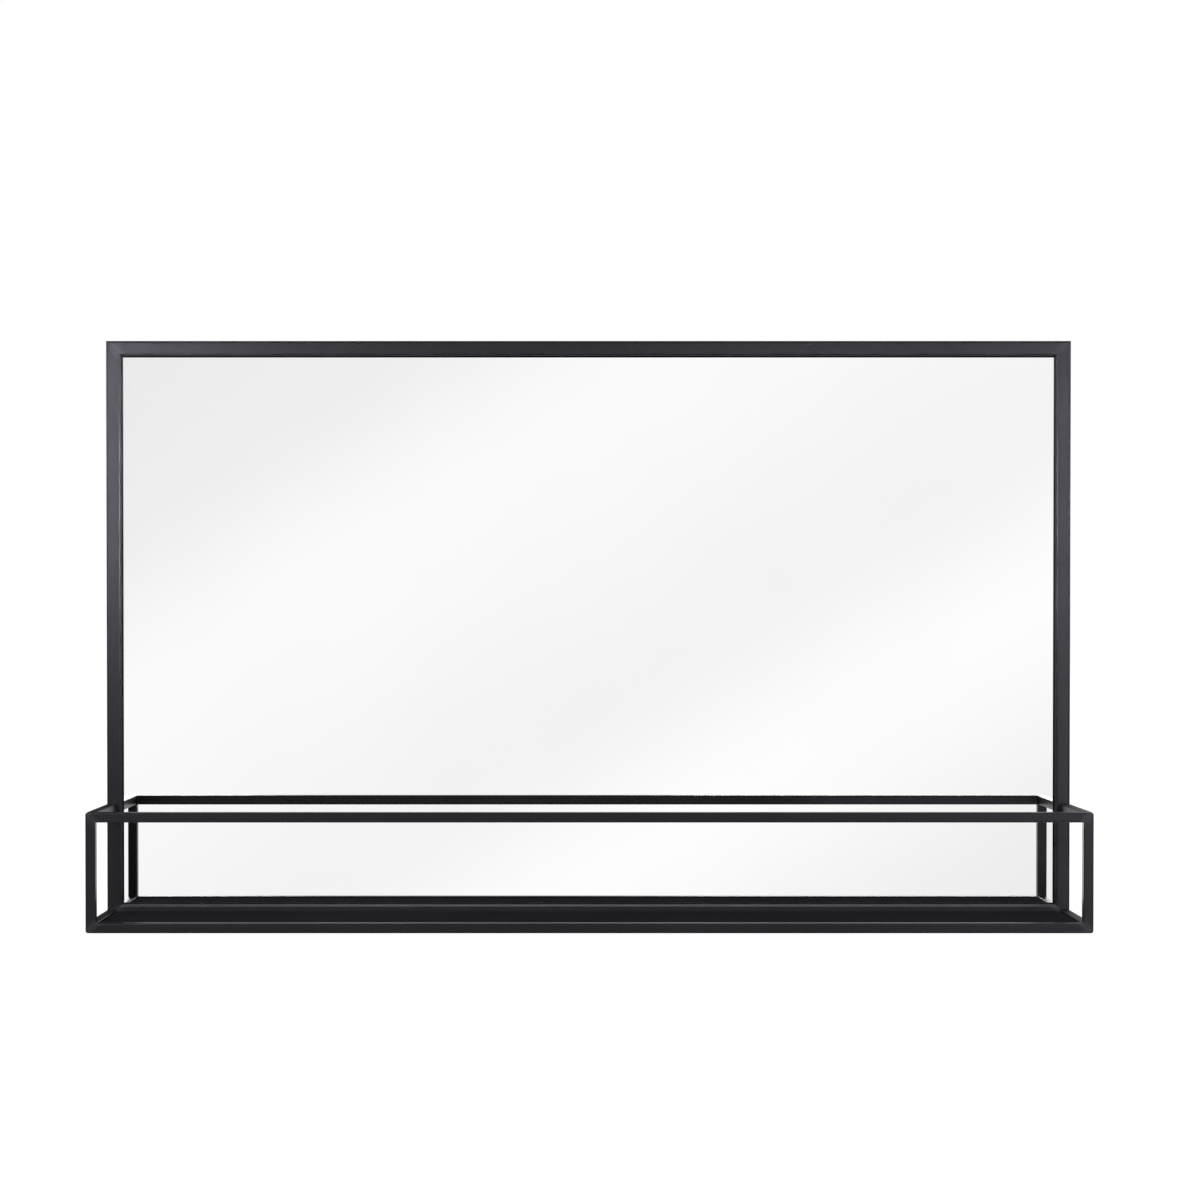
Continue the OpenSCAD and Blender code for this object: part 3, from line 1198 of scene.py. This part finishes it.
@dataclass
class Welds:
    """Every weld that shows: rails to frame, rails to front rectangle, plates and lugs.

    A bead sinks a little into the corner it fills and stays clear of the rounded edges. On
    the hanger plates it also stops short of the plate's corners and of the tube's foot.
    """

    bead: Bead = Bead()
    tack: Bead = Bead(radius=0.8 * MM, ripple=0.06)
    tack_length: float = 9 * MM
    tacks_along: int = 5
    clear: float = 1.3 * MM
    corner_gap: float = 5.2 * MM
    foot_gap: float = 2.6 * MM
    sink: float = 0.25 * MM

    def build(self, rail_coat: Material, back_coat: Material) -> None:
        """Builds and fits the weld groups.

        Args:
            rail_coat: Finish of the welds on the shelf.
            back_coat: Finish of the welds behind.
        """
        self._rail_ends().fit([rail_coat], Slot.RAIL)
        self._plate_tacks().fit([rail_coat], Slot.SHEET)
        self._hanger_runs().fit([back_coat], Slot.BACK)
        self._lug_runs().fit([back_coat], Slot.BACK)

    def _rail_ends(self) -> Workpiece:
        """Beads where the side rails meet the frame, and behind the front rectangle.

        Returns:
            The welds as one workpiece.
        """
        piece = Workpiece("side_rail_welds")
        for side in Side:
            name = side.name.lower()
            low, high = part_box(f"shelf_{name}_top_rail")
            inner, outer = (low.x, high.x) if side is Side.RIGHT else (high.x, low.x)
            outer -= side.value * self.clear
            for face, ends in ((high.y, (high.z, low.z)), (low.y, (low.z,))):
                depth = face - self.sink if face == high.y else face + self.sink
                corners = [(outer, depth, ends[0]), (inner, depth, ends[0])]
                if len(ends) == 2:
                    corners += [(inner, depth, ends[1]), (outer, depth, ends[1])]
                else:
                    corners.append((inner, depth, high.z - self.clear))
                self.bead.run(piece, *corners)
            low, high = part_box(f"shelf_{name}_bottom_rail")
            inner = low.x if side is Side.RIGHT else high.x
            for depth in (high.y - self.sink, low.y + self.sink):
                self.bead.run(piece, (outer, depth, high.z),
                              (inner + side.value * self.sink, depth, high.z))
        return piece

    def _plate_tacks(self) -> Workpiece:
        """Short tacks under the shelf that hold the plate's flange to the rails.

        Returns:
            The welds as one workpiece.
        """
        piece = Workpiece("shelf_plate_tack_welds")
        low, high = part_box("shelf_plate")
        half = Vector((self.tack_length / 2, 0.0, 0.0))
        steps = [low.x + size_of((low, high)).x * (step + 0.5) / self.tacks_along
                 for step in range(self.tacks_along)]
        spots = [(Vector((across, depth, low.z)), half)
                 for across in steps for depth in (low.y, high.y)]
        spots += [(Vector((across, middle((low, high)).y, low.z)), half.yxz)
                  for across in (low.x, high.x)]
        for spot, reach in spots:
            self.tack.run(piece, spot - reach, spot + reach)
        return piece

    def _hanger_runs(self) -> Workpiece:
        """Beads round the part of each hanger plate that lies on the top tube.

        Returns:
            The welds as one workpiece.
        """
        piece = Workpiece("hanger_plate_welds")
        tube_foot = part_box("frame_top_tube")[0].z
        for side in Side:
            low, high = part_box(f"{side.name.lower()}_hanger_plate")
            for across in (low.x, high.x):
                self.bead.run(piece, (across, low.y, tube_foot + self.foot_gap),
                              (across, low.y, high.z - self.corner_gap))
            self.bead.run(piece, (low.x + self.corner_gap, low.y, high.z),
                          (high.x - self.corner_gap, low.y, high.z))
        return piece

    def _lug_runs(self) -> Workpiece:
        """A bead along the root of each lug, on the side that shows from behind.

        Returns:
            The welds as one workpiece.
        """
        piece = Workpiece("board_lug_welds")
        roots = {"top": (2, 1), "bottom": (2, 0), "left": (0, 0), "right": (0, 1)}
        for name, (axis, end) in roots.items():
            for box in separate_boxes(f"{name}_board_lugs"):
                start, stop = box[0].copy(), box[1].copy()
                start[axis] = stop[axis] = box[end][axis]
                start.y = stop.y = box[1].y
                run = (stop - start).normalized() * self.clear
                self.bead.run(piece, start + run, stop - run)
        return piece


# ---------------------------------------------------------------- the pane and the fittings


@dataclass
class MirrorPane:
    """The glass: silvered, painted behind and arrissed along every edge."""

    node: str = "mirror_glass"
    arris: float = 0.6 * MM
    arris_segments: int = 2
    square_on: float = 0.99

    def build(self, face: Material, edge: Material, back: Material) -> Object:
        """Builds and fits the pane.

        Args:
            face: Finish of the reflecting front.
            edge: Finish of the ground edges.
            back: Finish of the painted back.

        Returns:
            The pane.
        """
        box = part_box(self.node)
        pane = Workpiece("mirror_pane")
        made = bmesh.ops.create_cube(pane.mesh, size=1.0)
        pane.move(made["verts"], at(*middle(box)) @ sized(*size_of(box)))
        pane.round_off(pane.mesh.edges[:], self.arris, self.arris_segments)
        pane.tidy()
        pane.mesh.normal_update()
        for polygon in pane.mesh.faces:
            polygon.material_index = 1
            if polygon.normal.y < -self.square_on:
                polygon.material_index = 0
            elif polygon.normal.y > self.square_on:
                polygon.material_index = 2
        return pane.fit([face, edge, back], Slot.MIRROR, [self.node], sharp_at=30.0)


@dataclass
class BoardScrews:
    """Pan head screws with a cross recess, through the lugs into the board.

    The thread grows over run_in tips from the point and fades near the neck, never to less
    than least. The recess is cut from overshoot head heights down.
    """

    node: str = "board_screws"
    head_segments: int = 40
    dome: float = 1.5 * MM
    dome_segments: int = 6
    rim: float = 0.99
    overshoot: float = 1.2
    recess: float = 3.9 * MM
    recess_depth: float = 1.5 * MM
    recess_taper: float = 0.55
    shank: float = 1.35 * MM
    thread: float = 0.40 * MM
    thread_pitch: float = 1.35 * MM
    thread_width: float = 1.6
    run_in: float = 1.5
    run_out: float = 0.2
    least: float = 0.15
    point: float = 0.12
    turn_steps: int = 16
    twist: float = 37.0

    def _head(self, radius: float, height: float) -> Workpiece:
        """Makes the head with its recess, on its seat at Y = 0 and rising along Y.

        Args:
            radius: The head's radius.
            height: The head's height.

        Returns:
            The head.
        """
        head = Workpiece("screw_head")
        head.cylinder(radius, height, self.head_segments, at(0.0, 0.0, height / 2))
        rim = [edge for edge in head.mesh.edges
               if all(vert.co.z > height * self.rim for vert in edge.verts)]
        head.round_off(rim, self.dome, self.dome_segments)
        cross = Workpiece("cross_recess")
        bmesh.ops.create_grid(cross.mesh, x_segments=3, y_segments=3, size=self.recess / 2)
        corners = [face for face in cross.mesh.faces
                   if min(map(abs, face.calc_center_median().xy)) > self.recess / 6]
        bmesh.ops.delete(cross.mesh, geom=corners, context="FACES")
        narrow = sized(self.recess_taper, self.recess_taper, 1.0)
        cross.sweep(list(cross.mesh.faces), [
            at(0.0, 0.0, height * self.overshoot),
            at(0.0, 0.0, height - self.recess_depth) @ narrow])
        head.carve(cross)
        head.move(head.mesh.verts[:], turned(-90, "X"))
        return head

    def _shank(self, length: float) -> Workpiece:
        """Makes the threaded shank, with its tip at Y = 0 and its neck at Y = length.

        Args:
            length: The shank's length.

        Returns:
            The shank.
        """
        shank = Workpiece("screw_shank")
        tip = 2 * self.shank
        stations = [(0.0, self.point), (tip, 1.0), (length, 1.0)]
        shank.sweep(shank.disc(self.shank, self.turn_steps),
                    [at(0.0, along, 0.0) @ turned(-90, "X") @ sized(share, share, 1.0)
                     for along, share in stations])
        ridge = shank.disc(1.0, 3)
        turns = (length - tip / 2) / self.thread_pitch
        places = []
        for step in range(int(turns * self.turn_steps)):
            angle = 2 * math.pi * step / self.turn_steps
            along = tip / 2 + self.thread_pitch * step / self.turn_steps
            fade = min(1.0, along / (self.run_in * tip),
                       (length - along) / self.thread_pitch + self.run_out)
            size = self.thread * max(self.least, fade)
            out = self.shank * min(1.0, along / tip)
            places.append(Matrix.Rotation(angle, 4, "Y") @ at(out, along, 0.0)
                          @ sized(size * self.thread_width, size, 1.0))
        shank.sweep(ridge, places)
        return shank

    def build(self, material: Material) -> None:
        """Builds one screw and sets a copy at each place.

        Args:
            material: The plating.
        """
        boxes = separate_boxes(self.node)
        low, high = boxes[0]
        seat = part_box("top_board_lugs")[1].y
        head = self._head(size_of(boxes[0]).x / 2, high.y - seat)
        shank = self._shank(seat - low.y)
        screws = Workpiece("board_screws_finished")
        for number, box in enumerate(boxes):
            spot = middle(box)
            for part, along in ((head, seat), (shank, low.y)):
                spare = bpy.data.meshes.new("spare")
                part.mesh.to_mesh(spare)
                spare.transform(at(spot.x, along, spot.z) @ turned(self.twist * number, "Y"))
                screws.mesh.from_mesh(spare)
                bpy.data.meshes.remove(spare)
        head.mesh.free()
        shank.mesh.free()
        screws.fit([material], Slot.SCREW, [self.node], sharp_at=35.0)


@dataclass
class WallBumpers:
    """Moulded rubber pads that keep the foot of the frame off the wall."""

    node: str = "wall_bumpers"
    segments: int = 48
    shoulder: float = 0.8 * MM
    shoulder_segments: int = 5
    dish: float = 0.35 * MM
    rim: float = 1.2 * MM
    slope: float = 0.5 * MM

    def build(self, material: Material) -> None:
        """Builds and fits the pads, each slightly dished where it meets the wall.

        Args:
            material: The rubber.
        """
        pads = Workpiece("wall_bumpers_finished")
        for box in separate_boxes(self.node):
            size, centre = size_of(box), middle(box)
            verts = pads.cylinder(size.x / 2, size.y, self.segments,
                                  at(*centre) @ turned(-90, "X"))
            wall_side = [edge for vert in verts for edge in vert.link_edges
                         if all(end.co.y > centre.y for end in edge.verts)]
            pads.round_off(list(set(wall_side)), self.shoulder, self.shoulder_segments)
            top = [face for face in pads.mesh.faces if len(face.verts) == self.segments
                   and face.calc_center_median().y > centre.y
                   and (face.calc_center_median() - centre).length < size.x]
            bmesh.ops.inset_region(pads.mesh, faces=top, thickness=self.rim)
            bmesh.ops.inset_region(pads.mesh, faces=top, thickness=self.slope,
                                   depth=-self.dish)
        pads.fit([material], Slot.RUBBER, [self.node], sharp_at=50.0)


# ---------------------------------------------------------------- studio


@dataclass(frozen=True)
class Softbox:
    """An area lamp, with a grid on it where its light may fan out by less than 180 degrees."""

    name: str
    place: tuple[float, float, float]
    aim: tuple[float, float, float]
    width: float
    height: float
    watts: float
    fan: float = 180.0
    lights: Lights = Lights.ALL

    def hang(self, receivers: Collection) -> None:
        """Makes the lamp and turns it to what it lights.

        Args:
            receivers: The light linking collection of the pieces that it lights.
        """
        data = bpy.data.lights.new(self.name, "AREA")
        data.shape = "RECTANGLE"
        data.size, data.size_y = self.width, self.height
        data.energy = self.watts
        data.spread = math.radians(self.fan)
        lamp = stand(self.name, data)
        lamp.visible_camera = False
        lamp.light_linking.receiver_collection = receivers
        lamp.location = self.place
        aim = Vector(self.aim) - Vector(self.place)
        lamp.rotation_euler = aim.to_track_quat("-Z", "Y").to_euler()


@dataclass(frozen=True)
class LampTargets:
    """The pieces that single lamps spare or pick out."""

    pane: Object
    frame_tubes: Sequence[Object]
    shelf_front: Sequence[Object]

    def receivers(self) -> dict[Lights, Collection]:
        """Makes the light linking collections.

        Returns:
            The collection for each choice of pieces.
        """
        foot = [tube for tube in self.frame_tubes if "bottom" in tube.name]
        front = [tube for tube in self.shelf_front if "bottom" not in tube.name]
        groups = {}
        for lights, pieces, state in (
                (Lights.ALL, [self.pane], "EXCLUDE"),
                (Lights.NOT_FRAME, [self.pane, *self.frame_tubes], "EXCLUDE"),
                (Lights.FRAME, self.frame_tubes, "INCLUDE"),
                (Lights.FOOT, foot, "INCLUDE"),
                (Lights.SHELF_FRONT, front, "INCLUDE")):
            group = groups[lights] = bpy.data.collections.new(lights.value)
            for piece in pieces:
                group.objects.link(piece)
            for entry in group.collection_objects:
                entry.light_linking.link_state = state
        return groups


@dataclass
class Studio:
    """Camera, lamps, floor and the pale surroundings that the glass reflects.

    The lamps are listed by place, aim, width, height and watts, and by fan where it has a
    grid. Each stop of the sweep pairs a slant, which is the direction's Z less sweep_slope
    times its X, with the tone there. Behind the wall's plane the tones fall to wall_shade.
    The floor's paint is floor_in_glass to reflected rays, and its glow tops it up to the
    sweep's tone. The world gives every other ray an even fill.
    """

    camera_place: tuple[float, float, float] = (-0.0235, -2.665, -0.2487)
    pitch_down: float = 0.783
    photo_width: float = 1200.0
    focal_pixels: float = 2543.3
    centre_pixel: tuple[float, float] = (565.8, 654.8)
    sensor: float = 36.0
    clip: tuple[float, float] = (0.05, 60.0)
    lamps: Sequence[Softbox] = (
        Softbox("strip_left", (-0.888, -1.527, -0.016), (-0.5, -0.027, -0.10), 0.188, 0.094, 7.7),
        Softbox("strip_inner_left", (-0.645, -1.527, -0.031), (-0.42, -0.027, -0.11), 0.22, 0.125,
                3.3),
        Softbox("strip_inner_right", (0.484, -1.527, -0.063), (0.30, -0.027, -0.13), 0.627, 0.188,
                4.9),
        Softbox("strip_right", (0.931, -1.527, -0.016), (0.5, -0.027, -0.10), 0.188, 0.094, 2.9),
        Softbox("strip_low_right", (0.986, -1.527, -0.408), (0.5, -0.027, -0.35), 0.235, 0.706,
                5.3),
        Softbox("grid_top", (0.05, -1.527, -0.02), (0.05, -0.027, 0.02), 0.9, 0.06, 0.08, 25.0),
        Softbox("grid_corner_left", (-0.888, -1.527, -0.016), (-0.45, -0.027, 0.03), 0.10, 0.06,
                0.02, 8.0),
        Softbox("grid_corner_right", (0.931, -1.527, -0.016), (0.5, -0.027, -0.02), 0.10, 0.10,
                0.008, 10.0),
        Softbox("edge_left", (-1.53, -1.25, -0.10), (-0.5, -0.027, -0.08), 0.20, 0.20, 0.28, 20.0),
        Softbox("edge_left_inner", (0.81, -0.945, -0.10), (-0.5, -0.027, -0.08), 0.20, 0.20, 1.2,
                20.0),
        Softbox("edge_right_inner", (-0.81, -0.945, -0.10), (0.5, -0.027, -0.08), 0.20, 0.20,
                0.6, 20.0),
        Softbox("edge_right", (1.81, -0.945, -0.10), (0.5, -0.027, -0.08), 0.20, 0.20, 0.25, 20.0),
        Softbox("soft_foot", (0.1, -0.75, 0.9), (0.1, -0.027, -0.545), 1.4, 0.9, 52.0,
                lights=Lights.FOOT),
        Softbox("glass_bounce_left", (-0.32, -0.030, -0.49), (-0.32, -1.0, -0.49), 0.34, 0.10,
                0.045, lights=Lights.SHELF_FRONT),
        Softbox("glass_bounce_right", (0.41, -0.030, -0.49), (0.41, -1.0, -0.49), 0.32, 0.10,
                0.155, lights=Lights.SHELF_FRONT),
        Softbox("glass_bounce_middle", (0.05, -0.030, -0.49), (0.05, -1.0, -0.49), 0.40, 0.10,
                0.07, lights=Lights.SHELF_FRONT),
        Softbox("soft_wall_side", (0.25, 2.2, 0.1), (0.0, 0.0, -0.26), 1.4, 0.9, 16.0,
                lights=Lights.FRAME),
        Softbox("soft_behind", (0.6, 1.7, 1.0), (0.0, 0.0, -0.25), 1.6, 1.2, 32.0,
                lights=Lights.NOT_FRAME))
    floor_drop: float = 0.95
    floor_size: float = 200.0
    floor_glow: float = 0.62
    floor_paint: float = 0.86
    floor_roughness: float = 0.85
    floor_in_glass: float = 0.25
    fill: float = 0.50
    wall_shade: float = 0.11
    wall_blend: float = 0.2
    sweep_slope: float = 0.65
    sweep_range: float = 0.30
    sweep: Sequence[tuple[float, float]] = (
        (-0.30, 0.72), (-0.228, 0.855), (-0.11, 0.995), (-0.044, 0.911), (0.078, 0.978),
        (0.154, 0.869), (0.21, 0.85), (0.30, 0.70))

    def build(self, targets: LampTargets) -> None:
        """Sets up everything round the object.

        Args:
            targets: The pieces that single lamps spare or pick out.
        """
        self._camera()
        tones = self._sweep_tones()
        self._world(tones)
        self._floor(tones)
        receivers = targets.receivers()
        for lamp in self.lamps:
            lamp.hang(receivers[lamp.lights])
        bpy.context.scene.view_settings.view_transform = "Standard"

    def _camera(self) -> None:
        """Makes the camera at the photograph's viewing angle."""
        data = bpy.data.cameras.new("camera")
        data.sensor_width = self.sensor
        data.lens = self.sensor * self.focal_pixels / self.photo_width
        data.shift_x = 0.5 - self.centre_pixel[0] / self.photo_width
        data.shift_y = self.centre_pixel[1] / self.photo_width - 0.5
        data.clip_start, data.clip_end = self.clip
        camera = stand("camera", data)
        camera.location = self.camera_place
        camera.rotation_euler = (math.radians(90 - self.pitch_down), 0.0, 0.0)
        bpy.context.scene.camera = camera

    def _sweep_tones(self) -> NodeTree:
        """Tone of the surroundings: a pale sweep before the object, the wall's shade behind it.

        Returns:
            The group.
        """
        group = EffectGroup("sweep_tones", {"Direction": None, "Behind": 0.0}, ["Tone"])
        slant = group.vector_maths("DOT_PRODUCT", group.given("Direction"),
                                   (-self.sweep_slope, 0.0, 1.0))
        across = group.spread(slant.outputs["Value"], -self.sweep_range, self.sweep_range)
        ramp = group.add("ShaderNodeValToRGB")
        ramp.color_ramp.interpolation = "EASE"
        stops = ramp.color_ramp.elements
        for number, (where, tone) in enumerate(self.sweep):
            share = (where + self.sweep_range) / (2 * self.sweep_range)
            stop = stops[number] if number < len(stops) else stops.new(share)
            stop.position = share
            stop.color = (tone, tone, tone, 1.0)
        group.join(across, ramp.inputs[0])
        shade = group.spread(group.given("Behind"), 0.0, self.wall_blend, 1.0, self.wall_shade,
                             smooth=True)
        group.give("Tone", group.maths("MULTIPLY", ramp.outputs[0], shade))
        return group.tree

    @staticmethod
    def _ray_kinds(sheet: NodeSheet) -> tuple[NodeSocket, NodeSocket]:
        """Masks of the camera's own rays, and of the rays off metal and through glass."""
        rays = sheet.add("ShaderNodeLightPath").outputs
        return rays["Is Camera Ray"], sheet.maths(
            "MAXIMUM", rays["Is Glossy Ray"], rays["Is Transmission Ray"])

    def _world(self, tones: NodeTree) -> None:
        """White behind the object, soft grey sweeps for gloss, and an even fill.

        Args:
            tones: The sweep's tones.
        """
        world = bpy.data.worlds.new("studio")
        world.use_nodes = True
        world.node_tree.nodes.clear()
        sheet = NodeSheet(world.node_tree)
        place = sheet.add("ShaderNodeTexCoord").outputs["Generated"]
        sweep = sheet.add("ShaderNodeGroup", place, sheet.axes(place)[1], node_tree=tones)
        seen, gloss = self._ray_kinds(sheet)
        tone = sheet.blend(gloss, (self.fill,) * 3, sweep.outputs["Tone"])
        tone = sheet.blend(seen, tone, (1.0, 1.0, 1.0))
        background = sheet.add("ShaderNodeBackground", tone)
        sheet.add("ShaderNodeOutputWorld", background.outputs[0])
        bpy.context.scene.world = world

    def _floor(self, tones: NodeTree) -> None:
        """A pale floor under the hung mirror: white to the eye, and one with the sweep in gloss.

        Its tones are laid out as the mirror shows them from the camera's place.

        Args:
            tones: The sweep's tones.
        """
        bench = bmesh.new()
        bmesh.ops.create_grid(bench, x_segments=1, y_segments=1, size=self.floor_size / 2)
        data = bpy.data.meshes.new("floor")
        bench.to_mesh(data)
        bench.free()
        floor = stand("floor", data)
        floor.location = (0.0, 0.0, CAD_BOUNDS[0].z - self.floor_drop)
        finish = Finish("pale_floor")
        sheet = finish.sheet
        finish.plain(Roughness=self.floor_roughness, Specular_IOR_Level=0.0,
                     Emission_Color=(1.0, 1.0, 1.0))
        eye = Vector(self.camera_place)
        eye.y = 2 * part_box("mirror_glass")[0].y - eye.y
        outwards = sheet.vector_maths("ADD", finish.object_place, floor.location - eye)
        direction = sheet.vector_maths("NORMALIZE", outwards.outputs[0])
        sweep = sheet.add("ShaderNodeGroup", direction.outputs[0],
                          sheet.axes(finish.object_place)[1], node_tree=tones)
        seen, gloss = self._ray_kinds(sheet)
        finish.colour(sheet.blend(gloss, (self.floor_paint,) * 3, (self.floor_in_glass,) * 3))
        topped_up = sheet.maths("SUBTRACT", sweep.outputs["Tone"],
                                self.floor_in_glass * self.fill, clamp=True)
        glow = sheet.maths("ADD", sheet.maths("MULTIPLY", seen, self.floor_glow),
                           sheet.maths("MULTIPLY", gloss, topped_up))
        sheet.join(glow, finish.shader.inputs["Emission Strength"])
        data.materials.append(finish.material)


# ---------------------------------------------------------------- assembly


@dataclass
class ShelfMirror:
    """The whole object."""

    effects: Effects = field(default_factory=Effects)
    frame_stock: TubeStock = TubeStock(radius=2.4 * MM, wall=1.5 * MM, segments=8)
    rail_stock: TubeStock = TubeStock(radius=1.4 * MM, wall=1.0 * MM)

    def build(self) -> LampTargets:
        """Builds and dresses every sub-assembly.

        Returns:
            The pieces that single lamps spare or pick out.
        """
        frame_tubes = self._frame()
        rail_coat, shelf_front = self._shelf()
        back_coat = PowderCoat("back_powder_coat", roughness=0.48).make(self.effects)
        for node in ("top_board_lugs", "bottom_board_lugs", "left_board_lugs",
                     "right_board_lugs", "left_hanger_plate", "right_hanger_plate"):
            dress_node(node, back_coat)
        Welds().build(rail_coat, back_coat)
        pane = MirrorPane().build(
            Silvering().make(self.effects), GroundGlassEdge().make(self.effects),
            PaintedBack().make(self.effects))
        BoardScrews().build(ZincPlate().make(self.effects))
        WallBumpers().build(MouldedRubber().make(self.effects))
        dress_node("backing_board", PressedBoard().make(self.effects))
        dress_node("glass_tape_strips", FoamTape().make(self.effects))
        return LampTargets(pane, frame_tubes, shelf_front)

    def _frame(self) -> list[Object]:
        """The mirror's frame.

        Returns:
            Its four tubes.
        """
        rectangle = WeldedRectangle(
            nodes={edge: f"frame_{edge.name.lower()}_tube" for edge in Edge},
            stock=self.frame_stock, corner_radius=0.8 * MM, slot=Slot.FRAME,
            drains=DrainHoles())
        coat = PowderCoat("frame_powder_coat", mitre=rectangle.mitre_band())
        # The inside faces get a matt coat paler than the rest: painted light in place of the
        # highlights a gloss coat would catch there.
        recess = PowderCoat("frame_recess_coat", roughness=0.90, gloss=0.0,
                            base=(0.0300, 0.0290, 0.0330), pale=(0.0340, 0.0330, 0.0370))
        return rectangle.build(coat.make(self.effects), recess.make(self.effects))

    def _shelf(self) -> tuple[Material, list[Object]]:
        """The rail shelf.

        Returns:
            The plain rail finish, for the welds, and the front rectangle's four tubes.
        """
        rectangle = WeldedRectangle(
            nodes={Edge.TOP: "shelf_front_top_rail", Edge.RIGHT: "shelf_right_post",
                   Edge.BOTTOM: "shelf_front_bottom_rail", Edge.LEFT: "shelf_left_post"},
            stock=self.rail_stock, corner_radius=2.5 * MM, slot=Slot.RAIL)
        coat = PowderCoat("front_rail_powder_coat", mitre=rectangle.mitre_band())
        front = rectangle.build(coat.make(self.effects))
        side_coat = PowderCoat("side_rail_powder_coat").make(self.effects)
        SideRails([f"shelf_{side.name.lower()}_{level}_rail" for side in Side
                   for level in ("top", "bottom")], self.rail_stock).build(side_coat)
        # The plate gets a matt coat with a paler base: painted sheen in place of the gloss it
        # lacks.
        sheet_coat_with_painted_sheen = PowderCoat("shelf_plate_powder_coat", roughness=0.90, gloss=0.0,
                                base=(0.0190, 0.0181, 0.0228), pale=(0.0230, 0.0218, 0.0273))
        dress_node("shelf_plate", sheet_coat_with_painted_sheen.make(self.effects))
        return side_coat, front


def main() -> None:
    """Builds the studio and the object."""
    logging.basicConfig(level=logging.INFO, format="%(name)s: %(message)s")
    targets = ShelfMirror().build()
    Studio().build(targets)


if __name__ == "__main__":
    main()
